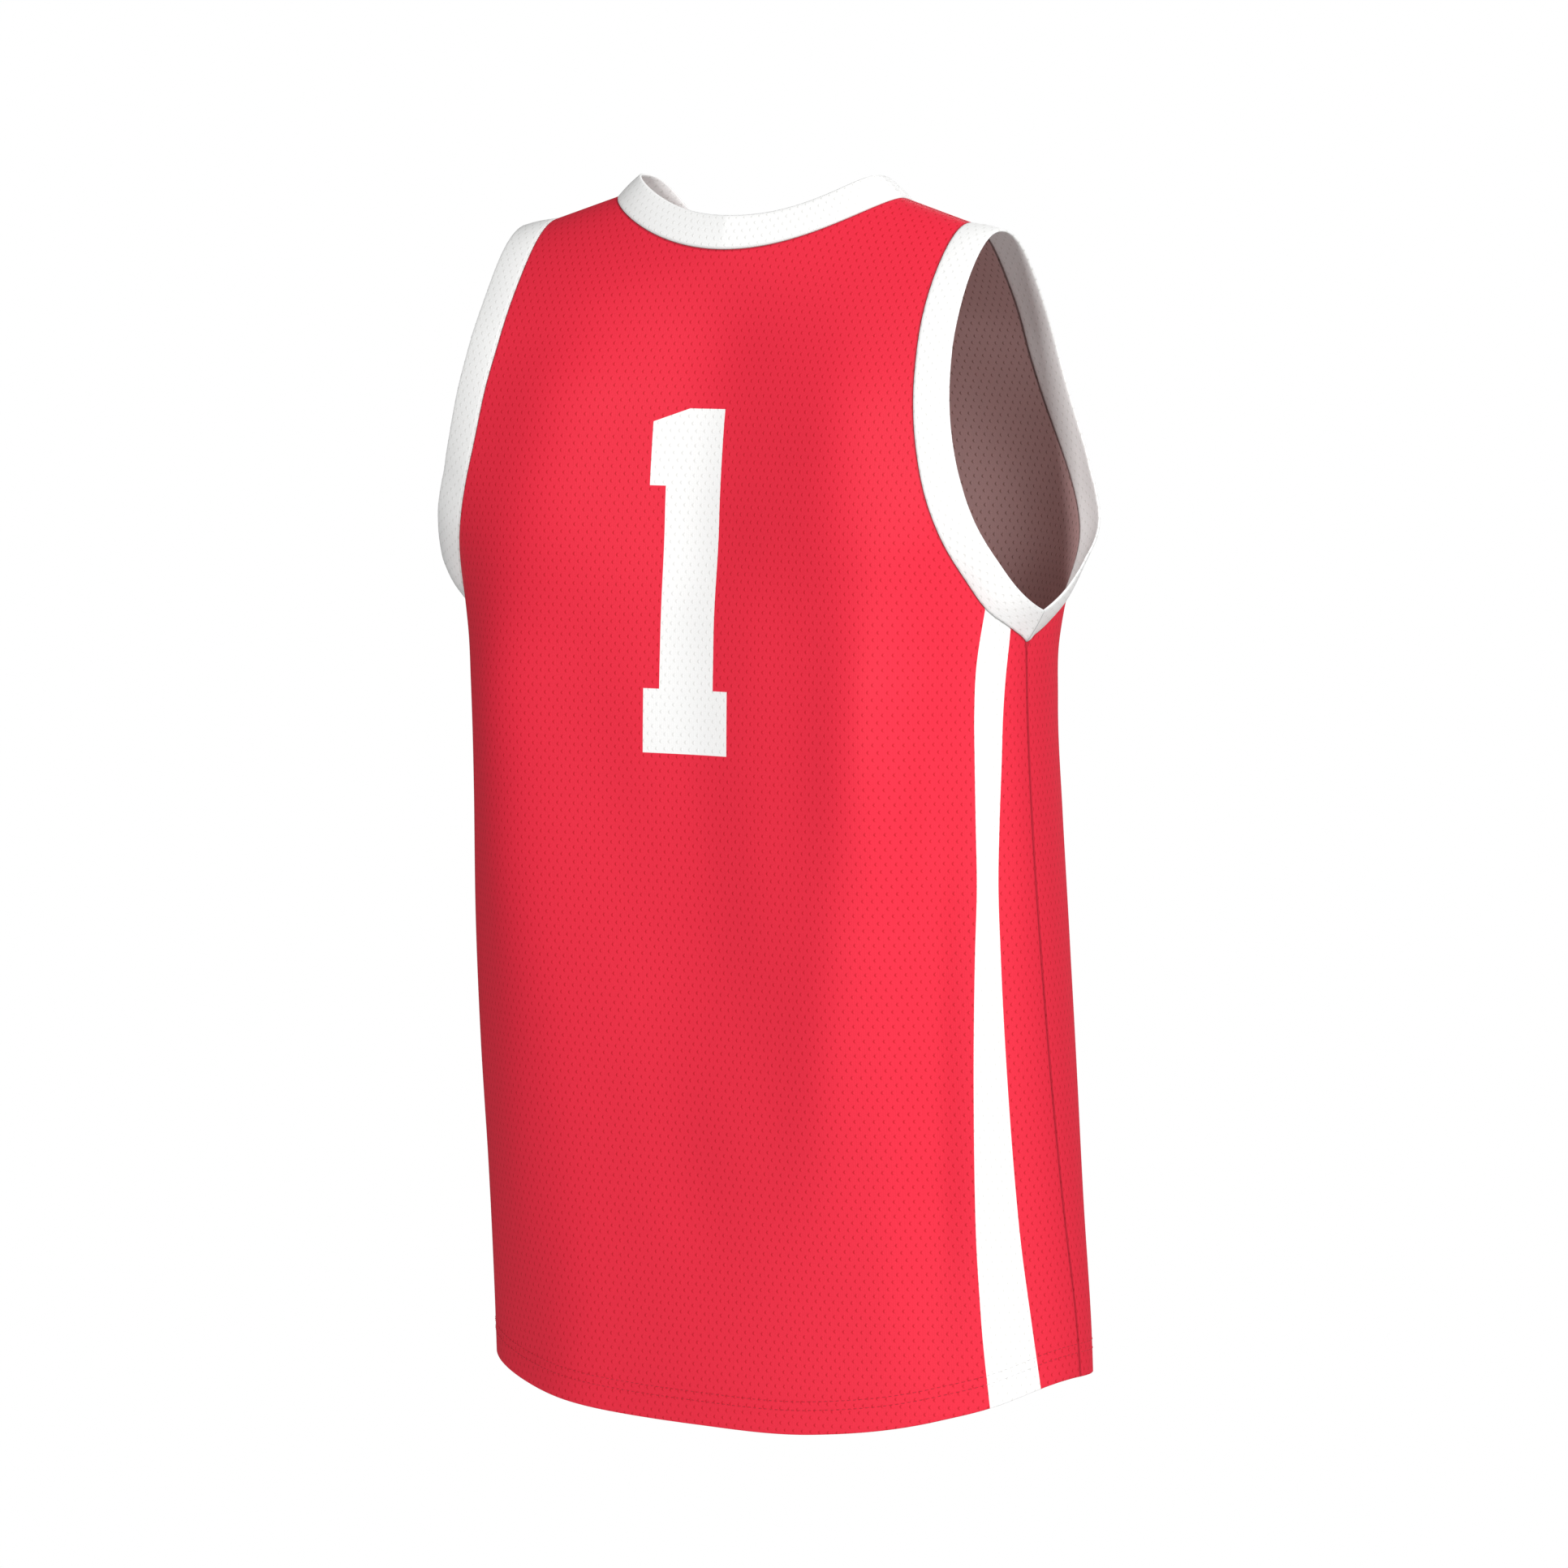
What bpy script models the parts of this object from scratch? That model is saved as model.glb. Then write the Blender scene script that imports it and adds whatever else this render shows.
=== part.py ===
"""Sleeveless basketball jersey, filled out as it is when it is worn, with nobody in it.

Frame: metres, +Z up. The front faces -Y, the back +Y, and +X is the wearer's left.
The origin is the middle of the neck, level with the neck ends of the shoulder seams.
Five pieces are cut and sewn: front, back, neck band and two armhole bands.
"""
import bmesh
import bpy
import math
import numpy as np

# Driving dimensions -----------------------------------------------------------------
CLOTH = 0.0015                 # thickness of the cloth walls
SEAM_GAP = 0.0003              # space left between two pieces where they are sewn
UNDERARM_HEIGHT = -0.270       # lowest point of the armhole seams
NECK_HALF_WIDTH = 0.1065       # middle of the neck to the neck end of a shoulder seam
BACK_NECK_DROP = 0.032         # shoulder seam's neck end down to the neck seam at centre back
FRONT_NECK_DROP = 0.112        # the same at centre front
FRONT_NECK_ROUNDNESS = 0.7     # below 1 the scoop is fuller near the shoulders
SHOULDER_SLOPE = 0.30          # fall of the shoulder seam for each metre outwards
SHOULDER_ROUNDING = 0.075      # depth below the seam over which the shoulder rounds over
NECK_BAND_WIDTH = 0.0225
NECK_BAND_STAND = 0.4          # how far the neck band stands up off the shoulder's slope
NECK_STAND_POWER = 4           # keeps that stand close to the shoulder seams
NECK_MIDDLE = (0.0, -0.02, 0.1)  # a point above the open neck, towards which its band leans
ARMHOLE_BAND_WIDTH = 0.0245
ARMHOLE_BAND_FLARE = 0.6       # how far the armhole band opens outwards at the underarm
FLARE_TOP = -0.180             # height at which that opening begins
ARMHOLE_BAND_STAND = 0.12      # how far the band lifts off the shoulder's slope at the shoulder seam
STAND_FOOT = -0.075            # height at which that lift begins
ARM_RISE = 0.6                 # rise of the line out of the armhole for each metre outwards

# Grid of each half panel
COLUMNS = 12                   # from the centre line to the side seam
NECK_COLUMNS = 8               # those of them that end at the neck seam
BODY_ROWS = 13                 # from the hem to the underarm
YOKE_ROWS = 14                 # from the underarm to the shoulder
BAND_STRIPS = 2                # across a band
EDGE_SAMPLES = 300             # points that an edge is measured with before it is divided evenly
SLOPE_STEP = 0.0005            # step by which the form's slopes are measured
ON_EDGE = 1e-9                 # nearer than this counts as lying on an edge
SHARP_ANGLE = math.radians(50) # a crease sharper than this is not smoothed

# One row for each level cut through the body, from the bottom up
SECTION_COLUMNS = ("height", "half_width", "side_y", "back_y", "front_y", "back_power", "front_power")
SECTIONS = np.array([
    (-0.800, 0.2168, -0.0410, 0.0665, -0.1120, 2.3, 2.3),
    (-0.700, 0.2160, -0.0332, 0.0700, -0.1155, 2.3, 2.3),
    (-0.620, 0.2134, -0.0206, 0.0740, -0.1220, 2.3, 2.3),
    (-0.540, 0.2118, -0.0089, 0.0810, -0.1255, 2.3, 2.3),
    (-0.460, 0.2098, 0.0000, 0.0865, -0.1245, 2.3, 2.3),
    (-0.380, 0.2070, 0.0057, 0.0890, -0.1206, 2.3, 2.3),
    (-0.310, 0.2066, 0.0107, 0.0880, -0.1160, 2.3, 2.3),
    (-0.270, 0.2075, 0.0135, 0.0865, -0.1140, 2.4, 2.4),
    (-0.235, 0.2075, 0.0160, 0.0850, -0.1125, 2.9, 3.0),
    (-0.200, 0.2075, 0.0160, 0.0825, -0.1100, 4.2, 4.2),
    (-0.160, 0.2075, 0.0090, 0.0775, -0.1040, 6.5, 4.8),
    (-0.120, 0.2075, 0.0000, 0.0708, -0.0920, 8.0, 4.6),
    (-0.080, 0.2075, 0.0000, 0.0580, -0.0750, 8.0, 4.4),
    (-0.030, 0.2075, 0.0000, 0.0435, -0.0530, 8.0, 4.4),
    (0.040, 0.2075, 0.0000, 0.0300, -0.0380, 8.0, 4.4),
])

# Armhole seam: how far out it runs at each height, from the underarm up to the shoulder
ARMHOLE_COLUMNS = ("height", "back_x", "front_x")
ARMHOLE = np.array([
    (-0.270, 0.2075, 0.2075),
    (-0.266, 0.2074, 0.2074),
    (-0.260, 0.2058, 0.2062),
    (-0.250, 0.1998, 0.2018),
    (-0.230, 0.1918, 0.1940),
    (-0.210, 0.1841, 0.1850),
    (-0.190, 0.1774, 0.1760),
    (-0.170, 0.1717, 0.1670),
    (-0.150, 0.1671, 0.1595),
    (-0.120, 0.1623, 0.1525),
    (-0.090, 0.1588, 0.1500),
    (-0.060, 0.1568, 0.1515),
    (-0.015, 0.1566, 0.1566),
])

# Hem: its height at each share of the half width, from the right side seam to the left one
HEM_COLUMNS = ("share", "back_height", "front_height")
HEM = np.array([
    (-1.00, -0.7295, -0.7295),
    (-0.90, -0.7417, -0.7318),
    (-0.75, -0.7524, -0.7435),
    (-0.38, -0.7654, -0.7640),
    (0.00, -0.7660, -0.7690),
    (0.42, -0.7620, -0.7650),
    (0.85, -0.7480, -0.7480),
    (1.00, -0.7395, -0.7395),
])

# Largest folds: soft ridges (rise above zero) and troughs (below), each along a straight axis.
# The first ten are on the back.
FOLD_COLUMNS = ("side", "top_x", "top_height", "foot_x", "foot_height", "half_width", "rise")
FOLDS = np.array([
    (1, 0.087, -0.030, 0.142, -0.384, 0.046, 0.0079),
    (1, -0.004, -0.033, -0.016, -0.270, 0.044, -0.0058),
    (1, 0.013, -0.126, -0.029, -0.605, 0.046, -0.0070),
    (1, -0.159, -0.144, -0.085, -0.695, 0.031, 0.0064),
    (1, -0.175, -0.228, -0.159, -0.770, 0.018, -0.0095),
    (1, 0.151, -0.156, 0.140, -0.752, 0.033, 0.0067),
    (1, 0.166, -0.392, 0.089, -0.790, 0.037, -0.0028),
    (1, -0.105, -0.030, -0.138, -0.454, 0.040, 0.0065),
    (1, 0.071, -0.247, -0.023, -0.743, 0.034, -0.0026),
    (1, 0.126, -0.241, 0.100, -0.775, 0.039, 0.0077),
    (-1, 0.100, -0.060, 0.135, -0.430, 0.042, 0.0070),
    (-1, 0.000, -0.130, 0.020, -0.480, 0.044, -0.0060),
    (-1, -0.110, -0.090, -0.140, -0.480, 0.040, 0.0065),
    (-1, 0.120, -0.250, 0.095, -0.785, 0.036, 0.0070),
    (-1, 0.160, -0.300, 0.150, -0.785, 0.022, -0.0050),
    (-1, -0.060, -0.280, -0.035, -0.785, 0.032, -0.0055),
    (-1, -0.125, -0.330, -0.105, -0.785, 0.036, 0.0070),
    (-1, -0.168, -0.240, -0.158, -0.640, 0.018, -0.0050),
    (-1, 0.030, -0.420, 0.055, -0.785, 0.034, -0.0045),
])
LOWEST_FOLD_FOOT = -0.770   # a fold that reaches below this runs out through the hem
FOLD_END = 0.3              # share of its length over which a fold rises and dies away
SEAM_CALM = 0.12            # share of the half width, next to a side seam, over which folds die away

BACK, FRONT = 1, -1            # the side that a panel faces along Y
SECTION_SPACING = 2 / 2.3      # spreads the columns evenly round the turn at the side seam


# The form of the garment --------------------------------------------------------------
def smooth(position, stations, values):
    """Value at a position on the smooth curve through a table's column."""
    slopes = np.gradient(values, stations)
    left = np.clip(np.searchsorted(stations, position) - 1, 0, len(stations) - 2)
    step = stations[left + 1] - stations[left]
    t = np.clip((position - stations[left]) / step, 0.0, 1.0)
    rise = values[left + 1] - values[left]
    start = slopes[left] * step
    end = slopes[left + 1] * step
    return values[left] + t * start + t**2 * (3 * rise - 2 * start - end) + t**3 * (start + end - 2 * rise)


def section(column, height):
    index = SECTION_COLUMNS.index(column)
    return smooth(height, SECTIONS[:, 0], SECTIONS[:, index])


def out_fraction(across):
    """Share of the half width reached at an across value: 0 on the centre line, 1 at a side seam."""
    return np.sin(np.clip(np.abs(across), 0.0, 1.0) * math.pi / 2) ** SECTION_SPACING


def across_at(x, height):
    fraction = np.clip(x / section("half_width", height), 0.0, 1.0)
    return np.arcsin(fraction ** (1 / SECTION_SPACING)) * 2 / math.pi


def shoulder_height(across):
    yoke_half_width = SECTIONS[-1, 1]
    return SHOULDER_SLOPE * (NECK_HALF_WIDTH - yoke_half_width * out_fraction(across))


def fall_at(across, height):
    """Distance down the cloth from the shoulder seam to a height."""
    drop = np.maximum(shoulder_height(across) - height, 0.0)
    rounded = SHOULDER_ROUNDING * np.arccos(np.clip(1 - drop / SHOULDER_ROUNDING, 0.0, 1.0))
    straight = drop + SHOULDER_ROUNDING * (math.pi / 2 - 1)
    return np.where(drop < SHOULDER_ROUNDING, rounded, straight)


def ease(share):
    """Smooth step from 0 to 1."""
    share = np.clip(share, 0.0, 1.0)
    return share * share * (3 - 2 * share)


def fold_rise(side, x, height):
    """How far the folds lift the cloth off the plain form at a point."""
    total = np.zeros_like(x)
    for row in FOLDS:
        fold = dict(zip(FOLD_COLUMNS, row))
        if fold["side"] != side:
            continue
        along = (height - fold["top_height"]) / (fold["foot_height"] - fold["top_height"])
        axis_x = fold["top_x"] + (fold["foot_x"] - fold["top_x"]) * along
        runs_out = fold["foot_height"] < LOWEST_FOLD_FOOT
        ends = np.minimum(ease(along / FOLD_END), ease((1 - along) / FOLD_END + runs_out))
        total += fold["rise"] * ends * np.exp(-((x - axis_x) / fold["half_width"]) ** 2)
    share_out = np.abs(x) / section("half_width", height)
    return total * ease((1 - share_out) / SEAM_CALM)


def form(side, across, fall):
    """Points in the middle of the cloth; across runs from -1, the right side seam, to 1, the left."""
    angle = np.clip(fall / SHOULDER_ROUNDING, 0.0, math.pi / 2)
    beyond = np.maximum(fall - SHOULDER_ROUNDING * math.pi / 2, 0.0)
    height = shoulder_height(across) - SHOULDER_ROUNDING * (1 - np.cos(angle)) - beyond
    fraction = out_fraction(across)
    half_width = section("half_width", height)
    side_y = section("side_y", height)
    middle_y = section("back_y" if side == BACK else "front_y", height)
    power = section("back_power" if side == BACK else "front_power", height)
    bulge = np.maximum(1 - fraction**power, 0.0) ** (1 / power)
    x = np.sign(across) * half_width * fraction
    y = side_y + (middle_y - side_y) * bulge
    out_x = x / half_width**2
    out_y = (y - side_y) / (middle_y - side_y) ** 2
    lift = fold_rise(side, x, height) * np.sin(angle) / np.hypot(out_x, out_y)
    y = y * np.sin(angle)
    return np.stack([x + lift * out_x, y + lift * out_y, height], axis=-1)


def outward(side, across, fall):
    """Directions square to the form, out of the garment."""
    left = form(side, np.minimum(across + SLOPE_STEP, 1.0), fall)
    right = form(side, np.maximum(across - SLOPE_STEP, -1.0), fall)
    below = form(side, across, fall + SLOPE_STEP)
    above = form(side, across, np.maximum(fall - SLOPE_STEP, 0.0))
    normal = side * np.cross(left - right, below - above)
    on_side_seam = np.abs(across) > 1 - ON_EDGE
    on_shoulder_seam = fall < ON_EDGE
    normal[on_side_seam | on_shoulder_seam, 1] = 0.0
    return unit(normal)


def unit(vectors):
    return vectors / np.linalg.norm(vectors, axis=-1, keepdims=True)


# The outline of a half panel, in across and fall ---------------------------------------
def evenly(side, across, fall, count):
    """The same outline stretch with points at even distances along the cloth."""
    points = form(side, across, fall)
    steps = np.linalg.norm(np.diff(points, axis=0), axis=1)
    travelled = np.concatenate([[0.0], np.cumsum(steps)])
    wanted = np.linspace(0.0, travelled[-1], count + 1)
    return np.interp(wanted, travelled, across), np.interp(wanted, travelled, fall)


def neck_height(side, x):
    """Neck seam: a shallow curve at the back and a deeper scoop at the front."""
    inward = 1 - (x / NECK_HALF_WIDTH) ** 2
    if side == BACK:
        return -BACK_NECK_DROP * inward
    return -FRONT_NECK_DROP * inward**FRONT_NECK_ROUNDNESS


def top_edge(side):
    """Neck seam from the centre line to the shoulder, then the shoulder seam out to the armhole."""
    neck_x = NECK_HALF_WIDTH * np.sin(np.linspace(0.0, math.pi / 2, EDGE_SAMPLES))
    neck_x[-1] = NECK_HALF_WIDTH
    neck_z = neck_height(side, neck_x)
    neck_across = across_at(neck_x, neck_z)
    neck = evenly(side, neck_across, fall_at(neck_across, neck_z), NECK_COLUMNS)
    tip_across = across_at(ARMHOLE[-1, 1], ARMHOLE[-1, 0])
    shoulder_across = np.linspace(neck_across[-1], tip_across, EDGE_SAMPLES)
    shoulder = evenly(side, shoulder_across, np.zeros(EDGE_SAMPLES), COLUMNS - NECK_COLUMNS)
    return np.concatenate([neck[0], shoulder[0][1:]]), np.concatenate([neck[1], shoulder[1][1:]])


def armhole_edge(side):
    """Armhole seam from the underarm up to the shoulder seam."""
    column = ARMHOLE_COLUMNS.index("back_x" if side == BACK else "front_x")
    heights = np.linspace(UNDERARM_HEIGHT, ARMHOLE[-1, 0], EDGE_SAMPLES)
    across = across_at(smooth(heights, ARMHOLE[:, 0], ARMHOLE[:, column]), heights)
    across[0] = 1.0
    fall = fall_at(across, heights)
    fall[-1] = 0.0
    return evenly(side, across, fall, YOKE_ROWS)


def body_grid(side):
    """Across and fall below the underarms: rows from the hem up, columns from right to left."""
    across = np.linspace(-1.0, 1.0, 2 * COLUMNS + 1)
    column = HEM_COLUMNS.index("back_height" if side == BACK else "front_height")
    hem_height = smooth(np.sign(across) * out_fraction(across), HEM[:, 0], HEM[:, column])
    share = np.linspace(0.0, 1.0, BODY_ROWS + 1)[:, None]
    height = hem_height * (1 - share) + UNDERARM_HEIGHT * share
    across = np.broadcast_to(across, height.shape)
    return across, fall_at(across, height)


def yoke_grid(side):
    """Across and fall above the underarms, blended between the four edges of the left half."""
    u = np.linspace(0.0, 1.0, COLUMNS + 1)[None, :]
    v = np.linspace(0.0, 1.0, YOKE_ROWS + 1)[:, None]
    low = (u[0], fall_at(u[0], UNDERARM_HEIGHT))
    centre_height = np.linspace(UNDERARM_HEIGHT, neck_height(side, 0.0), YOKE_ROWS + 1)
    centre = (np.zeros(YOKE_ROWS + 1), fall_at(np.zeros(YOKE_ROWS + 1), centre_height))
    halves = []
    for bottom, top, inner, outer in zip(low, top_edge(side), centre, armhole_edge(side)):
        between_rows = (1 - v) * bottom + v * top
        between_columns = (1 - u) * inner[:, None] + u * outer[:, None]
        corners = (1 - v) * ((1 - u) * bottom[0] + u * bottom[-1]) + v * ((1 - u) * top[0] + u * top[-1])
        halves.append(between_rows + between_columns - corners)
    across, fall = halves
    return np.hstack([-across[:, :0:-1], across]), np.hstack([fall[:, :0:-1], fall])


def panel_surface(side):
    """Points and outward directions over a whole panel, from the hem up and from right to left."""
    body = body_grid(side)
    yoke = yoke_grid(side)
    across = np.concatenate([body[0], yoke[0][1:]])
    fall = np.concatenate([body[1], yoke[1][1:]])
    return form(side, across, fall), outward(side, across, fall)


def open_seams(side, points):
    """Draws the side and shoulder edges back by half a seam gap."""
    points = points.copy()
    half_gap = side * SEAM_GAP / 2
    shoulder_columns = COLUMNS - NECK_COLUMNS + 1
    points[: BODY_ROWS + 1, [0, -1], 1] += half_gap
    points[-1, :shoulder_columns, 1] += half_gap
    points[-1, -shoulder_columns:, 1] += half_gap
    return points


# Loops that the bands are sewn to -------------------------------------------------------
def merged_loop(first, second):
    """A closed loop from two open ones that share both ends, where the two are averaged."""
    points = []
    for a, b in zip(first, second):
        start = (a[:1] + b[:1]) / 2
        end = (a[-1:] + b[-1:]) / 2
        points.append(np.concatenate([start, a[1:-1], end, b[-2:0:-1]]))
    return points


def neck_loop(panels):
    """Neck seam, from the right shoulder along the back to the left one and round the front."""
    stretch = slice(COLUMNS - NECK_COLUMNS, COLUMNS + NECK_COLUMNS + 1)
    back = [values[-1, stretch] for values in panels[BACK]]
    front = [values[-1, stretch] for values in panels[FRONT]]
    return merged_loop(back, front)


def armhole_loop(panels, hand):
    """Armhole seam of one side, from the underarm up the back to the shoulder and down the front."""
    column = -1 if hand > 0 else 0
    back = [values[BODY_ROWS:, column] for values in panels[BACK]]
    front = [values[BODY_ROWS:, column] for values in panels[FRONT]]
    return merged_loop(back, front)


def band_surface(loop, normals, width, turn, away):
    """Strips that carry the cloth on from a seam; turn lifts the band off the panel's slope."""
    tangent = np.roll(loop, -1, axis=0) - np.roll(loop, 1, axis=0)
    reach = unit(np.cross(tangent, normals))
    reach *= np.sign(np.sum(reach * away, axis=1, keepdims=True))
    direction = unit(reach + turn[:, None] * normals)
    band_normals = unit(normals - np.sum(normals * direction, axis=1, keepdims=True) * direction)
    distances = SEAM_GAP + np.linspace(0.0, 1.0, BAND_STRIPS + 1) * (width - SEAM_GAP)
    points = np.stack([loop + distance * direction for distance in distances])
    outwards = np.stack([normals] + [band_normals] * BAND_STRIPS)
    return points, outwards


# Solids -----------------------------------------------------------------------------------
def cloth_material(name, colour, roughness):
    material = bpy.data.materials.new(name)
    material.use_nodes = True
    shader = material.node_tree.nodes["Principled BSDF"]
    shader.inputs["Base Color"].default_value = (*colour, 1.0)
    shader.inputs["Roughness"].default_value = roughness
    shader.inputs["Metallic"].default_value = 0.0
    return material


def cloth_wall(name, points, normals, material, closed_loop=False):
    """One closed solid: the surface moved out and in by half the cloth, joined round its edges."""
    rows, columns = points.shape[:2]
    outer = (points + normals * CLOTH / 2).reshape(-1, 3)
    inner = (points - normals * CLOTH / 2).reshape(-1, 3)
    size = rows * columns
    last = columns if closed_loop else columns - 1

    def corner(row, column, layer):
        return layer * size + row * columns + column % columns

    faces = []
    for row in range(rows - 1):
        for column in range(last):
            for layer in (0, 1):
                faces.append([
                    corner(row, column, layer),
                    corner(row, column + 1, layer),
                    corner(row + 1, column + 1, layer),
                    corner(row + 1, column, layer),
                ])
    for row in (0, rows - 1):
        for column in range(last):
            faces.append([
                corner(row, column, 0),
                corner(row, column + 1, 0),
                corner(row, column + 1, 1),
                corner(row, column, 1),
            ])
    if not closed_loop:
        for column in (0, columns - 1):
            for row in range(rows - 1):
                faces.append([
                    corner(row, column, 0),
                    corner(row + 1, column, 0),
                    corner(row + 1, column, 1),
                    corner(row, column, 1),
                ])
    mesh = bpy.data.meshes.new(name)
    mesh.from_pydata(np.concatenate([outer, inner]).tolist(), [], faces)
    solid = bmesh.new()
    solid.from_mesh(mesh)
    bmesh.ops.recalc_face_normals(solid, faces=solid.faces)
    solid.to_mesh(mesh)
    solid.free()
    mesh.materials.append(material)
    mesh.shade_smooth()
    mesh.set_sharp_from_angle(angle=SHARP_ANGLE)
    piece = bpy.data.objects.new(name, mesh)
    bpy.context.scene.collection.objects.link(piece)
    return piece


def make_collar(panels, material):
    loop, normals = neck_loop(panels)
    inwards = NECK_MIDDLE - loop * (1.0, 1.0, 0.0)
    shoulder_share = np.abs(loop[:, 0]) / NECK_HALF_WIDTH
    stand = NECK_BAND_STAND * shoulder_share**NECK_STAND_POWER
    points, normals = band_surface(loop, normals, NECK_BAND_WIDTH, stand, inwards)
    cloth_wall("collar", points, normals, material, closed_loop=True)


def make_armhole_band(name, hand, panels, material):
    """An armhole band; hand is 1 on the wearer's left and -1 on the right."""
    loop, normals = armhole_loop(panels, hand)
    away = np.broadcast_to((hand, 0.0, ARM_RISE), loop.shape)
    lowness = (FLARE_TOP - loop[:, 2]) / (FLARE_TOP - UNDERARM_HEIGHT)
    flare = ARMHOLE_BAND_FLARE * np.clip(lowness, 0.0, 1.0)
    highness = (loop[:, 2] - STAND_FOOT) / (ARMHOLE[-1, 0] - STAND_FOOT)
    stand = ARMHOLE_BAND_STAND * ease(highness)
    points, normals = band_surface(loop, normals, ARMHOLE_BAND_WIDTH, flare + stand, away)
    cloth_wall(name, points, normals, material, closed_loop=True)


def build():
    for leftover in list(bpy.data.objects):
        bpy.data.objects.remove(leftover)
    red = cloth_material("red mesh knit", (0.76, 0.035, 0.062), 0.75)
    white = cloth_material("white rib knit", (0.93, 0.93, 0.92), 0.8)

    panels = {side: panel_surface(side) for side in (BACK, FRONT)}
    for name, side in (("back", BACK), ("front", FRONT)):
        points, normals = panels[side]
        cloth_wall(name, open_seams(side, points), normals, red)
    make_collar(panels, white)
    make_armhole_band("armhole_band_left", 1, panels, white)
    make_armhole_band("armhole_band_right", -1, panels, white)


build()
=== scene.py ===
"""Looks of the basketball jersey: mesh knit panels, rib bands, print, hem stitching, light and camera.

The cloth is worked out by the same form as the part's own solids, on a finer grid.
Everything is in metres, +Z up. The front faces -Y, the back +Y, and +X is the wearer's left.
"""
import math

import bmesh
import bpy
import numpy as np
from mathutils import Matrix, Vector
from mathutils.kdtree import KDTree


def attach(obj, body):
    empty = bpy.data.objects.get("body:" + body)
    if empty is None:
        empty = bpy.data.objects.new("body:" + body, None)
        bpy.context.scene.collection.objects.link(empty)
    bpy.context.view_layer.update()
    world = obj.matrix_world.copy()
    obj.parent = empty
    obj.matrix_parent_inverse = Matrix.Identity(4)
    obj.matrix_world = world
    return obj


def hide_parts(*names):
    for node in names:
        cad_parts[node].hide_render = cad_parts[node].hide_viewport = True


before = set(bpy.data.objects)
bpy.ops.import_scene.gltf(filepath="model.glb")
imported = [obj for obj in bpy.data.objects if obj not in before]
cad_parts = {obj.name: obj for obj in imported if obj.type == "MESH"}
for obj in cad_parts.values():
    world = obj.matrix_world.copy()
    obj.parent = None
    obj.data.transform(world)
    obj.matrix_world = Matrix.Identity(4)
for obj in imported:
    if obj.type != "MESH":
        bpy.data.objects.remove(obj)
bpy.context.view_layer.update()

# Sizes shared with the part ---------------------------------------------------------
UNDERARM_HEIGHT = -0.270
NECK_HALF_WIDTH = 0.1065
BACK_NECK_DROP = 0.032
FRONT_NECK_DROP = 0.112
FRONT_NECK_ROUNDNESS = 0.7
SHOULDER_SLOPE = 0.30
SHOULDER_ROUNDING = 0.075
NECK_BAND_WIDTH = 0.0225
NECK_BAND_STAND = 0.4
NECK_STAND_POWER = 4
NECK_MIDDLE = (0.0, -0.02, 0.1)
ARMHOLE_BAND_WIDTH = 0.0245
ARMHOLE_BAND_FLARE = 0.6
FLARE_TOP = -0.180
ARMHOLE_BAND_STAND = 0.12
STAND_FOOT = -0.075
ARM_RISE = 0.6
EDGE_SAMPLES = 900              # finer than the part's
SLOPE_STEP = 0.0005
ON_EDGE = 1e-9

SECTION_COLUMNS = ("height", "half_width", "side_y", "back_y", "front_y", "back_power", "front_power")
SECTIONS = np.array([
    (-0.800, 0.2168, -0.0410, 0.0665, -0.1120, 2.3, 2.3),
    (-0.700, 0.2160, -0.0332, 0.0700, -0.1155, 2.3, 2.3),
    (-0.620, 0.2134, -0.0206, 0.0740, -0.1220, 2.3, 2.3),
    (-0.540, 0.2118, -0.0089, 0.0810, -0.1255, 2.3, 2.3),
    (-0.460, 0.2098, 0.0000, 0.0865, -0.1245, 2.3, 2.3),
    (-0.380, 0.2070, 0.0057, 0.0890, -0.1206, 2.3, 2.3),
    (-0.310, 0.2066, 0.0107, 0.0880, -0.1160, 2.3, 2.3),
    (-0.270, 0.2075, 0.0135, 0.0865, -0.1140, 2.4, 2.4),
    (-0.235, 0.2075, 0.0160, 0.0850, -0.1125, 2.9, 3.0),
    (-0.200, 0.2075, 0.0160, 0.0825, -0.1100, 4.2, 4.2),
    (-0.160, 0.2075, 0.0090, 0.0775, -0.1040, 6.5, 4.8),
    (-0.120, 0.2075, 0.0000, 0.0708, -0.0920, 8.0, 4.6),
    (-0.080, 0.2075, 0.0000, 0.0580, -0.0750, 8.0, 4.4),
    (-0.030, 0.2075, 0.0000, 0.0435, -0.0530, 8.0, 4.4),
    (0.040, 0.2075, 0.0000, 0.0300, -0.0380, 8.0, 4.4),
])

ARMHOLE_COLUMNS = ("height", "back_x", "front_x")
ARMHOLE = np.array([
    (-0.270, 0.2075, 0.2075),
    (-0.266, 0.2074, 0.2074),
    (-0.260, 0.2058, 0.2062),
    (-0.250, 0.1998, 0.2018),
    (-0.230, 0.1918, 0.1940),
    (-0.210, 0.1841, 0.1850),
    (-0.190, 0.1774, 0.1760),
    (-0.170, 0.1717, 0.1670),
    (-0.150, 0.1671, 0.1595),
    (-0.120, 0.1623, 0.1525),
    (-0.090, 0.1588, 0.1500),
    (-0.060, 0.1568, 0.1515),
    (-0.015, 0.1566, 0.1566),
])

HEM_COLUMNS = ("share", "back_height", "front_height")
HEM = np.array([
    (-1.00, -0.7295, -0.7295),
    (-0.90, -0.7417, -0.7318),
    (-0.75, -0.7524, -0.7435),
    (-0.38, -0.7654, -0.7640),
    (0.00, -0.7660, -0.7690),
    (0.42, -0.7620, -0.7650),
    (0.85, -0.7480, -0.7480),
    (1.00, -0.7395, -0.7395),
])

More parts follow.
